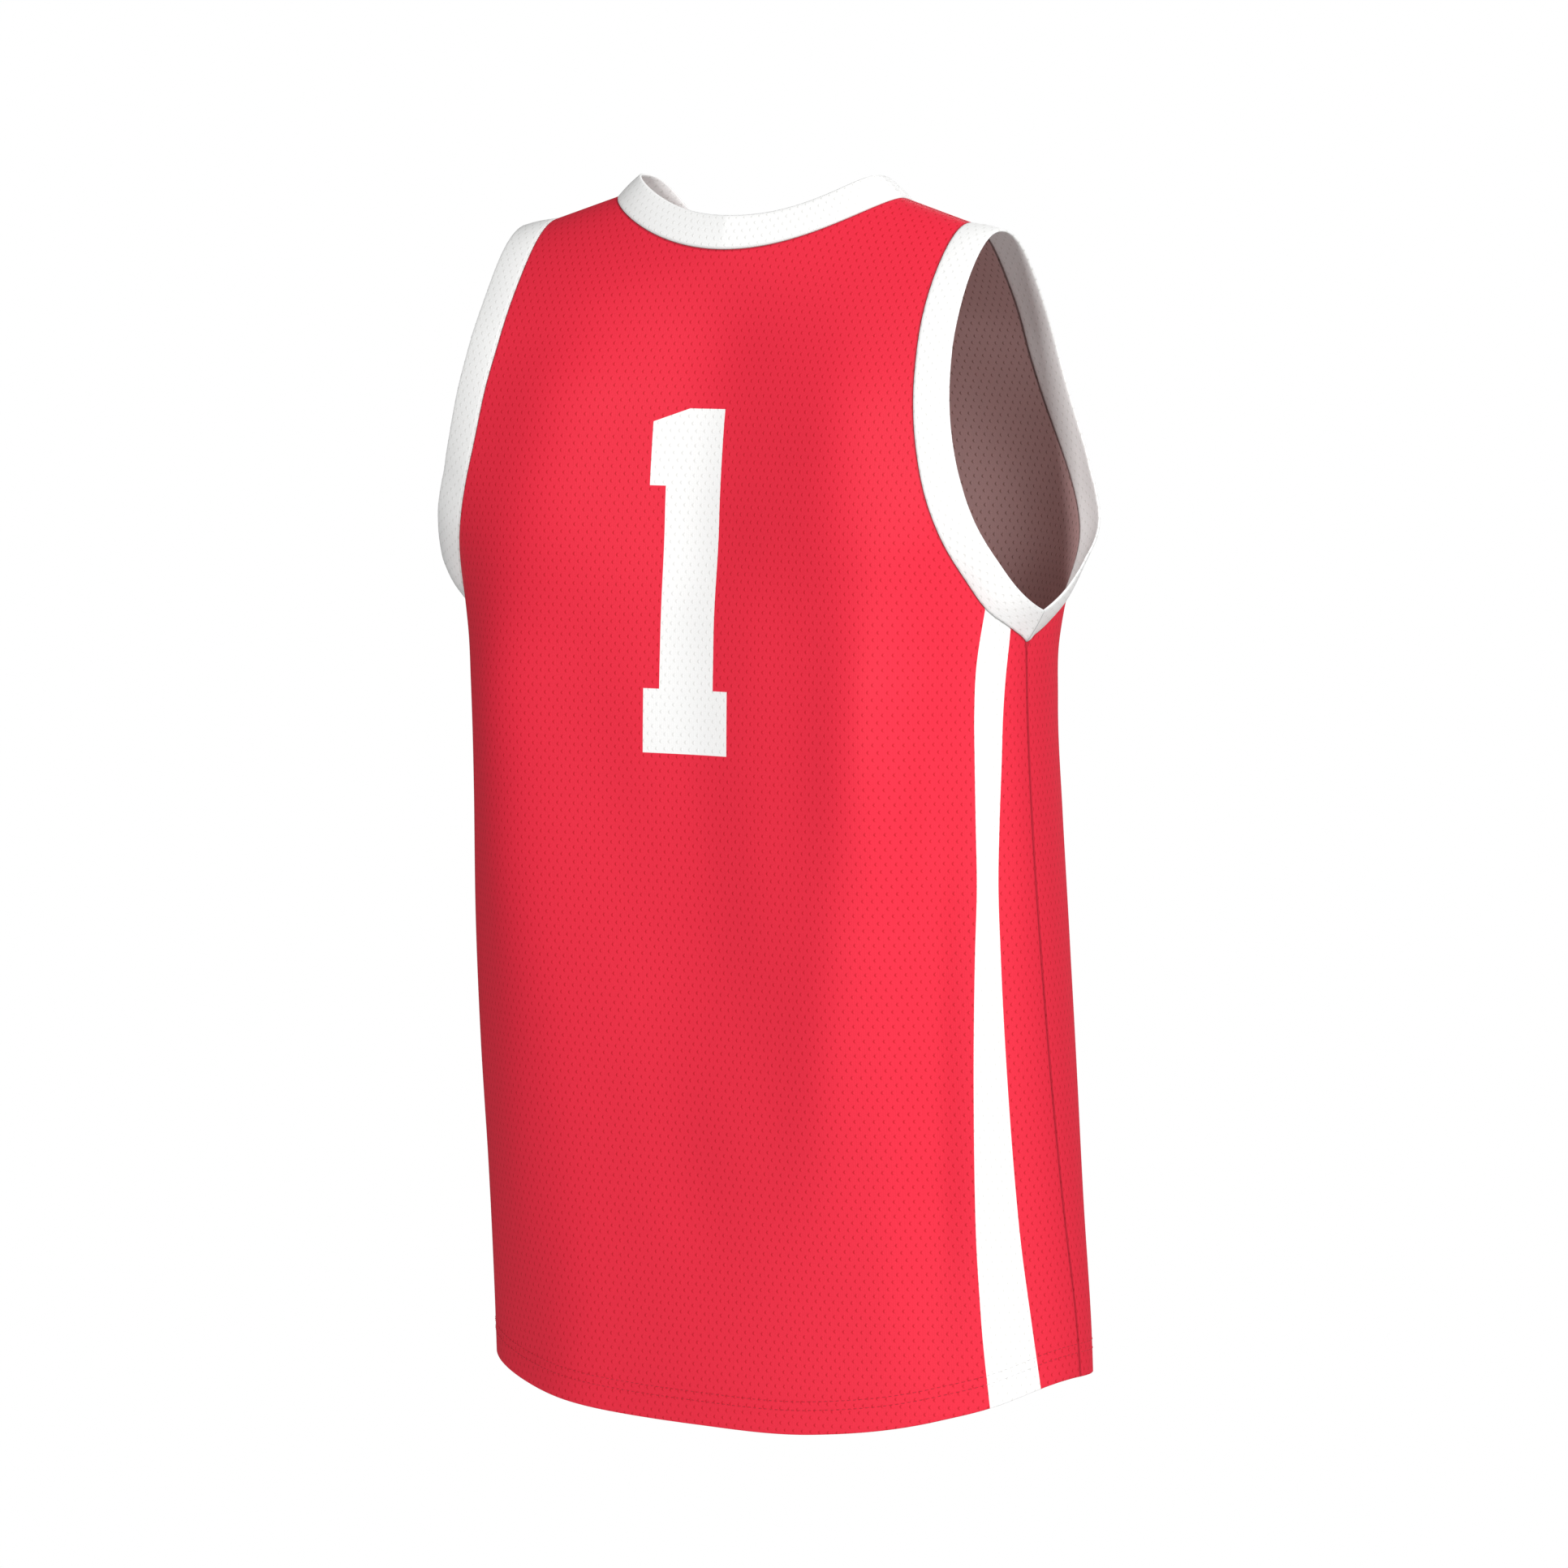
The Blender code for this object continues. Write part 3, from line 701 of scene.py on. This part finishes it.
def along_line(line):
    steps = np.linalg.norm(np.diff(line, axis=0), axis=1)
    return np.concatenate([[0.0], np.cumsum(steps)])


def read_at(vectors, travelled, wanted):
    """Vectors known at the distances travelled along a line, read at the wanted distances."""
    return np.stack([np.interp(wanted, travelled, part) for part in vectors.T], axis=-1)


def respaced(line, shares):
    """Points of a line at the given shares of its length."""
    travelled = along_line(line)
    return read_at(line, travelled, shares * travelled[-1])


def curve_to(corner, edge):
    """Points from a corner to the start of an edge, which they join without a kink."""
    heading = unit(edge[0] - edge[HEADING_POINTS])
    handle = edge[0] + heading * np.linalg.norm(corner - edge[0]) / 2
    share = np.linspace(1.0, 0.0, CORNER_POINTS, endpoint=False)[:, None]
    return corner * share**2 + 2 * handle * share * (1 - share) + edge[0] * (1 - share) ** 2


def mitred_side(seam, free_edge, corner):
    """Free edge of one side of an armhole band, from the mitre's corner to the shoulder."""
    travelled = along_line(seam)
    kept = free_edge[travelled > MITRE_RUN]
    line = np.concatenate([curve_to(corner, kept), kept])
    return respaced(line, travelled / travelled[-1])


def mitred_edge(loop, free_edge, half, hand):
    """Free edge of an armhole band, with its two ends led to the corner of the mitre under the arm."""
    corner = loop[0] + (hand * MITRE_OUT, MITRE_LEAN, MITRE_UP)
    back = mitred_side(loop[: half + 1], free_edge[: half + 1], corner)
    front_order = np.concatenate([[0], np.arange(len(loop) - 1, half - 1, -1)])
    front = mitred_side(loop[front_order], free_edge[front_order], corner)
    return np.concatenate([back, front[-2:0:-1]])


def band_surface(loop, normals, free_edge, crown):
    """Grid of a band between its seam and its free edge, swollen by a crown, with its normals."""
    reach = unit(free_edge - loop)
    band_normals = unit(normals - np.sum(normals * reach, axis=1, keepdims=True) * reach)
    shares = np.linspace(0.0, 1.0, BAND_STRIPS + 1)[:, None, None]
    swelling = crown[:, None] * np.sin(shares * math.pi)
    points = loop * (1 - shares) + free_edge * shares + swelling * band_normals
    return points, np.broadcast_to(band_normals, points.shape).copy()


def band_facts(points, upright):
    """Cloth coordinates of a band; an upright band's knit runs along it, and it has a mitre at its start."""
    rows, columns = points.shape[:2]
    closed = np.concatenate([points[0], points[0][:1]])
    along = np.broadcast_to(along_line(closed)[:-1], (rows, columns))
    width = np.linalg.norm(points[-1] - points[0], axis=1)
    across = np.linspace(0.0, 1.0, rows)[:, None] * width
    uv = np.stack([across, along] if upright else [along, across], axis=-1)
    mitre = distance_to(points, densely(points[:, 0], MITRE_FILL)) if upright else np.ones_like(across)
    return {"uv": uv, "seam": across, "mitre": mitre}


# Stitching ------------------------------------------------------------------------------
def stitch_line(side, lift):
    """Points, normals and depth inside the printed stripe along one row of hem stitches."""
    across = np.linspace(-STITCH_LINE_END, STITCH_LINE_END, STITCH_LINE_POINTS)
    fall = fall_at(across, hem_height(side, across) + lift)
    line = form(side, across, fall)
    depth = -np.ones_like(across)
    if side == BACK:
        from_side = cloth_coordinates(side, across, fall)[2]
        depth = stripe_depth(across, line[:, 2], from_side)
    return line, outward(side, across, fall), depth


def hem_stitches(name, side, threads):
    """Two rows of short raised stitches that hold the hem, white in the printed stripe and red elsewhere."""
    vertices, faces, in_stripe = [], [], []
    shares = np.array([share for share, lift, radius in STITCH_RINGS])
    for lift in HEM_STITCH_HEIGHTS:
        line, normals, depth = stitch_line(side, lift)
        travelled = along_line(line)
        for start in np.arange(STITCH_PITCH / 2, travelled[-1] - STITCH_LENGTH, STITCH_PITCH):
            stations = start + STITCH_LENGTH * shares
            centres = read_at(line, travelled, stations)
            add_stitch(vertices, faces, centres, unit(read_at(normals, travelled, stations)))
            in_stripe.append(np.interp(start, travelled, depth) > 0)
    thread_index = np.repeat(in_stripe, len(faces) // len(in_stripe))
    mesh = new_mesh(name, vertices, faces, threads, thread_index)
    mesh.shade_smooth()
    return new_object(name, mesh)


def add_stitch(vertices, faces, centres, normals):
    """One closed stitch, a thread that dips into the cloth at both ends."""
    first = len(vertices)
    tangent = unit(centres[-1] - centres[0])
    corners = range(STITCH_SIDES)
    for centre, normal, (_, lift, radius) in zip(centres, normals, STITCH_RINGS):
        middle = centre + normal * (PANEL_CLOTH / 2 + lift * STITCH_RADIUS)
        sideways = np.cross(tangent, normal)
        for corner in corners:
            angle = 2 * math.pi * corner / STITCH_SIDES
            spoke = math.cos(angle) * sideways + math.sin(angle) * normal
            vertices.append(tuple(middle + spoke * radius * STITCH_RADIUS))
    last = first + (len(STITCH_RINGS) - 1) * STITCH_SIDES
    for low in range(first, last, STITCH_SIDES):
        high = low + STITCH_SIDES
        for corner in corners:
            after = (corner + 1) % STITCH_SIDES
            faces.append((low + corner, low + after, high + after, high + corner))
    faces.append(tuple(first + corner for corner in reversed(corners)))
    faces.append(tuple(last + corner for corner in corners))


# Materials ------------------------------------------------------------------------------
class Nodes:
    """Short ways to add shader nodes to a material."""

    def __init__(self, name):
        self.material = bpy.data.materials.new(name)
        self.material.use_nodes = True
        self.tree = self.material.node_tree
        self.shader = self.tree.nodes["Principled BSDF"]

    def node(self, kind, **settings):
        made = self.tree.nodes.new(kind)
        for key, value in settings.items():
            setattr(made, key, value)
        return made

    def put(self, socket, value):
        if isinstance(value, bpy.types.NodeSocket):
            self.tree.links.new(value, socket)
        else:
            socket.default_value = value

    def math(self, operation, first, second=0.0, clamp=False):
        made = self.node("ShaderNodeMath", operation=operation, use_clamp=clamp)
        self.put(made.inputs[0], first)
        self.put(made.inputs[1], second)
        return made.outputs[0]

    def total(self, first, *others):
        for value in others:
            first = self.math("ADD", first, value)
        return first

    def scaled(self, value, factor):
        return self.math("MULTIPLY", value, factor)

    def darkened(self, level, mask, shade):
        """A level that loses a share of itself, the shade, where the mask is 1."""
        return self.math("MULTIPLY", level, self.math("SUBTRACT", 1.0, self.scaled(mask, shade)))

    def fact(self, name):
        return self.node("ShaderNodeAttribute", attribute_name=name).outputs["Fac"]

    def cloth(self):
        """Distance across and up the cloth."""
        uv = self.node("ShaderNodeUVMap", uv_map="cloth").outputs[0]
        split = self.node("ShaderNodeSeparateXYZ")
        self.put(split.inputs[0], uv)
        return uv, split.outputs[0], split.outputs[1]

    def mix(self, share, first, second):
        made = self.node("ShaderNodeMix", data_type="RGBA")
        self.put(made.inputs["Factor"], share)
        self.put(made.inputs["A"], first)
        self.put(made.inputs["B"], second)
        return made.outputs["Result"]

    def noise(self, vector, scale, detail=2.0):
        made = self.node("ShaderNodeTexNoise")
        self.put(made.inputs["Vector"], vector)
        made.inputs["Scale"].default_value = scale
        made.inputs["Detail"].default_value = detail
        return made.outputs["Fac"]

    def inside(self, distance, softness):
        """1 where a distance is above zero and 0 where it is below, over a soft step."""
        return self.math("ADD", self.math("DIVIDE", distance, softness), 0.5, clamp=True)


def srgb(red, green, blue):
    """Linear colour of an 8-bit display colour."""
    channels = [value / 255 for value in (red, green, blue)]
    linear = [c / 12.92 if c <= 0.04045 else ((c + 0.055) / 1.055) ** 2.4 for c in channels]
    return (*linear, 1.0)


def stroke(n, x, height, shape):
    """Mask of one wedge-shaped stroke of the knit, the same above and below its row's middle."""
    offset, lean, half_width, half_height = shape
    centred = n.math("SUBTRACT", n.math("SUBTRACT", x, offset), n.scaled(height, lean))
    across = n.math("DIVIDE", n.math("ABSOLUTE", centred), half_width)
    up = n.math("DIVIDE", height, half_height)
    return n.math("SUBTRACT", STROKE_FULLNESS, n.math("MAXIMUM", across, up), clamp=True)


def eyelets(n, u, v):
    """Masks of the knit's small eyelets and of the raised yarn beside them; besides the relief, they carry
    painted shade in the eyelets and a painted highlight on the raised yarn.
    """
    row = n.math("DIVIDE", v, EYELET_ROW)
    odd = n.math("MODULO", n.math("ABSOLUTE", n.math("FLOOR", row)), 2.0)
    column = n.math("ADD", n.math("DIVIDE", u, EYELET_PITCH), n.scaled(odd, 0.5))
    x = n.scaled(n.math("SUBTRACT", n.math("FRACT", column), 0.5), EYELET_PITCH * 1000)
    y = n.scaled(n.math("SUBTRACT", n.math("FRACT", row), 0.5), EYELET_ROW * 1000)
    height = n.math("ABSOLUTE", y)
    return stroke(n, x, height, EYELET_STROKE), stroke(n, x, height, RAISED_STROKE)


def number_mask(n, u, v):
    """The plain figure 1: a stem on a slab, with a slanted flag at the wearer's left."""
    u = n.math("SUBTRACT", u, NUMBER_CENTRE)

    def box(left, right, foot, top):
        sides = n.math("MINIMUM", n.math("SUBTRACT", u, left), n.math("SUBTRACT", right, u))
        ends = n.math("MINIMUM", n.math("SUBTRACT", v, foot), n.math("SUBTRACT", top, v))
        return n.math("MINIMUM", sides, ends)

    stem = box(-STEM_HALF_WIDTH, STEM_HALF_WIDTH, NUMBER_FOOT, NUMBER_TOP)
    slab = box(-SLAB_HALF_WIDTH, SLAB_HALF_WIDTH, NUMBER_FOOT, NUMBER_FOOT + SLAB_HEIGHT)
    flag = box(0.0, FLAG_REACH, NUMBER_TOP - FLAG_HEIGHT, NUMBER_TOP)
    slope = FLAG_SLANT_DROP / (FLAG_REACH - FLAG_SLANT_START)
    fallen = n.math("MULTIPLY", n.math("SUBTRACT", u, FLAG_SLANT_START), slope)
    below_slant = n.math("SUBTRACT", n.math("SUBTRACT", NUMBER_TOP, v), fallen)
    flag = n.math("MINIMUM", flag, below_slant)
    cut_stem = n.math("MINIMUM", stem, below_slant)
    shape = n.math("MAXIMUM", n.math("MAXIMUM", cut_stem, slab), flag)
    return n.inside(shape, NUMBER_SOFTNESS)


def shade_level(n, grain, patches, wale, raised, painted_seam_shade):
    """Share of its colour that the knit shows, by its texture, with painted shade along its seams and its
    mitre and a painted highlight on its raised yarn.
    """
    level = n.total(n.scaled(grain, GRAIN_SHADE), LEAST_LEVEL, n.scaled(wale, WALE_SHADE))
    level = n.total(level, n.scaled(n.math("SUBTRACT", patches, 0.5), PATCH_SHADE))
    # Painted highlight: the raised yarn at one side of each eyelet is lightened
    level = n.darkened(level, raised, RAISED_PAINTED_HIGHLIGHT)
    # Painted shade: the cloth darkens within a millimetre of each seam, as in the seam's groove
    seam_shadow_mask = n.inside(n.math("SUBTRACT", SEAM_SHADOW_WIDTH, n.fact("seam_mm")), SEAM_SOFTNESS)
    level = n.darkened(level, seam_shadow_mask, painted_seam_shade)
    # Painted shade: a dark line along the mitre of an armhole band
    mitre_shadow_mask = n.inside(n.math("SUBTRACT", MITRE_SHADOW_WIDTH, n.fact("mitre_mm")), MITRE_SOFTNESS)
    return n.darkened(level, mitre_shadow_mask, MITRE_PAINTED_SHADE)


def add_relief(n, eyelet, raised, grain, wale):
    low = n.scaled(eyelet, EYELET_RELIEF)
    high = n.scaled(raised, RAISED_RELIEF)
    relief = n.total(low, high, n.scaled(grain, GRAIN_RELIEF), n.scaled(wale, WALE_RELIEF))
    bump = n.node("ShaderNodeBump")
    bump.inputs["Strength"].default_value = RELIEF_STRENGTH
    bump.inputs["Distance"].default_value = RELIEF_HEIGHT
    n.put(bump.inputs["Height"], relief)
    n.put(n.shader.inputs["Normal"], bump.outputs[0])


def knit(name, colours, print_colours=None, painted_seam_shade=0.32):
    """Fine mesh knit with eyelets, wales and grain, painted shade in its eyelets and along its seams, and a
    painted highlight on its raised yarn; the back's printed stripe and number where asked for.
    """
    n = Nodes(name)
    uv, u, v = n.cloth()
    eyelet, raised = eyelets(n, u, v)
    grain = n.noise(uv, GRAIN_SCALE, GRAIN_DETAIL)
    patches = n.noise(uv, PATCH_SCALE)
    wale = n.math("SINE", n.scaled(u, 2 * math.pi / WALE_PITCH))

    colour, eyelet_shadow_colour = colours
    if print_colours is not None:
        stripe = n.inside(n.fact("stripe_mm"), PRINT_SOFTNESS)
        printed = n.math("MAXIMUM", stripe, number_mask(n, u, v))
        colour = n.mix(printed, colour, print_colours[0])
        eyelet_shadow_colour = n.mix(printed, eyelet_shadow_colour, print_colours[1])
    tint = n.node("ShaderNodeVectorMath", operation="SCALE")
    # Painted shade: the eyelets take a darker colour that stands in for the shade in their hollows
    n.put(tint.inputs[0], n.mix(eyelet, colour, eyelet_shadow_colour))
    n.put(tint.inputs["Scale"], shade_level(n, grain, patches, wale, raised, painted_seam_shade))
    n.put(n.shader.inputs["Base Color"], tint.outputs[0])
    add_relief(n, eyelet, raised, grain, wale)
    n.shader.inputs["Roughness"].default_value = CLOTH_ROUGHNESS
    n.shader.inputs["Specular IOR Level"].default_value = CLOTH_SPECULAR
    return n.material


def thread(name, colour):
    n = Nodes(name)
    place = n.node("ShaderNodeTexCoord").outputs["Object"]
    dark = (*(channel * THREAD_SHADE for channel in colour[:3]), 1.0)
    n.put(n.shader.inputs["Base Color"], n.mix(n.noise(place, TWIST_SCALE), dark, colour))
    n.shader.inputs["Roughness"].default_value = CLOTH_ROUGHNESS
    return n.material


# Stage ----------------------------------------------------------------------------------
def white_world():
    """White backdrop for the camera, with a softer, dimmer light from it on the cloth."""
    world = bpy.data.worlds.new("white surround")
    bpy.context.scene.world = world
    world.use_nodes = True
    tree = world.node_tree
    background = tree.nodes["Background"]
    background.inputs["Color"].default_value = (1.0, 1.0, 1.0, 1.0)
    background.inputs["Strength"].default_value = WORLD_LIGHT
    seen = tree.nodes.new("ShaderNodeBackground")
    seen.inputs["Color"].default_value = (1.0, 1.0, 1.0, 1.0)
    seen.inputs["Strength"].default_value = 1.0
    ray = tree.nodes.new("ShaderNodeLightPath")
    mix = tree.nodes.new("ShaderNodeMixShader")
    tree.links.new(ray.outputs["Is Camera Ray"], mix.inputs["Fac"])
    tree.links.new(background.outputs[0], mix.inputs[1])
    tree.links.new(seen.outputs[0], mix.inputs[2])
    tree.links.new(mix.outputs[0], tree.nodes["World Output"].inputs["Surface"])


def floor():
    place = (0.0, 0.0, FLOOR_HEIGHT)
    bpy.ops.mesh.primitive_circle_add(vertices=96, radius=FLOOR_RADIUS, fill_type="NGON", location=place)
    disc = bpy.context.object
    disc.name = "floor"
    n = Nodes("pale floor")
    patches = n.noise(n.node("ShaderNodeTexCoord").outputs["Object"], FLOOR_PATCH_SCALE)
    n.put(n.shader.inputs["Base Color"], n.mix(patches, srgb(246, 246, 246), srgb(250, 250, 250)))
    n.shader.inputs["Roughness"].default_value = 0.9
    disc.data.materials.append(n.material)


def direction(azimuth, elevation):
    """Unit vector towards a place at an azimuth and an elevation."""
    a, e = math.radians(azimuth), math.radians(elevation)
    return Vector((math.sin(a) * math.cos(e), -math.cos(a) * math.cos(e), math.sin(e)))


def look_from(thing, target, azimuth, elevation, distance):
    """Places a light or a camera at a distance from its target and turns it there."""
    towards = direction(azimuth, elevation)
    thing.location = Vector(target) + towards * distance
    thing.rotation_mode = "QUATERNION"
    thing.rotation_quaternion = towards.to_track_quat("Z", "Y")


def softbox(name, azimuth, elevation, size, power):
    light = bpy.data.lights.new(name, "AREA")
    light.shape = "SQUARE"
    light.size = size
    light.energy = power
    look_from(new_object(name, light), JERSEY_MIDDLE, azimuth, elevation, LIGHT_DISTANCE)


def camera():
    data = bpy.data.cameras.new("camera")
    data.sensor_width = SENSOR_WIDTH
    data.lens = LENS
    data.clip_end = FARTHEST_SEEN
    viewer = new_object("camera", data)
    look_from(viewer, AIM, VIEW_AZIMUTH, VIEW_ELEVATION, VIEW_DISTANCE)
    bpy.context.scene.camera = viewer


# Building -------------------------------------------------------------------------------
def declare(piece, node):
    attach(piece, "root")
    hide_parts(node)


def make_panel(name, side, surface, materials, threads):
    facts = panel_facts(side, surface)
    piece = cloth_piece(name, surface["points"], surface["normals"], PANEL_CLOTH, facts, materials)
    stitches = hem_stitches(f"{name}_hem_stitches", side, threads)
    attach(stitches, "root")
    return piece, stitches


def make_collar(surfaces, materials):
    loop = neck_loop(surfaces, "points")
    normals = unit(neck_loop(surfaces, "normals"))
    inwards = NECK_MIDDLE - loop * (1.0, 1.0, 0.0)
    shoulder_share = np.abs(loop[:, 0]) / NECK_HALF_WIDTH
    stand = NECK_BAND_STAND * shoulder_share**NECK_STAND_POWER
    directions = band_directions(loop, normals, stand, inwards)
    free_edge = loop + NECK_BAND_WIDTH * directions
    crown = np.full(len(loop), BAND_CROWN)
    points, band_normals = band_surface(loop, normals, free_edge, crown)
    facts = band_facts(points, upright=False)
    return cloth_piece("neck_band", points, band_normals, BAND_CLOTH, facts, materials, wrap=True)


def make_armhole_band(name, hand, surfaces, materials):
    loop = armhole_loop(surfaces, "points", hand)
    normals = unit(armhole_loop(surfaces, "normals", hand))
    away = np.broadcast_to((hand, 0.0, ARM_RISE), loop.shape)
    lowness = np.clip((FLARE_TOP - loop[:, 2]) / (FLARE_TOP - UNDERARM_HEIGHT), 0.0, 1.0)
    flare = ARMHOLE_BAND_FLARE * lowness
    highness = (loop[:, 2] - STAND_FOOT) / (ARMHOLE[-1, 0] - STAND_FOOT)
    stand = ARMHOLE_BAND_STAND * ease(highness)
    directions = band_directions(loop, normals, flare + stand, away)
    free_edge = loop + ARMHOLE_BAND_WIDTH * directions
    free_edge = mitred_edge(loop, free_edge, YOKE_ROWS, hand)
    from_mitre = np.linalg.norm(loop - loop[0], axis=1)
    crown = BAND_CROWN + UNDERARM_CROWN * lowness * ease(from_mitre / CROWN_RUN)
    points, band_normals = band_surface(loop, normals, free_edge, crown)
    facts = band_facts(points, upright=True)
    return cloth_piece(name, points, band_normals, BAND_CLOTH, facts, materials, wrap=True)


def build():
    # The second colour of each pair is the painted shade in the eyelets
    red, white = (RED, RED_EYELET_SHADOW), (WHITE, WHITE_EYELET_SHADOW)
    front_knit = knit("red mesh knit", red)
    back_knit = knit("red mesh knit with print", red, print_colours=white)
    # The last argument is the share of colour lost to painted shade along the seams
    reverse = knit("reverse of the mesh knit", (REVERSE, REVERSE_EYELET_SHADOW), painted_seam_shade=0.6)
    rib = knit("white band knit", white, painted_seam_shade=0.15)
    threads = [thread("red thread", RED_THREAD), thread("white thread", WHITE_THREAD)]

    surfaces = {side: panel_surface(side) for side in (BACK, FRONT)}
    back, back_stitches = make_panel("back_panel", BACK, surfaces[BACK], [back_knit, reverse], threads)
    front, front_stitches = make_panel("front_panel", FRONT, surfaces[FRONT], [front_knit, reverse], threads)
    collar = make_collar(surfaces, [rib])
    left = make_armhole_band("left_armhole_band", 1, surfaces, [rib])
    right = make_armhole_band("right_armhole_band", -1, surfaces, [rib])
    declare(back, "back")
    declare(front, "front")
    declare(collar, "collar")
    declare(left, "armhole_band_left")
    declare(right, "armhole_band_right")


bpy.context.scene.view_settings.view_transform = "Standard"
build()
white_world()
floor()
for row in LIGHTS:
    softbox(**dict(zip(LIGHT_COLUMNS, row)))
camera()
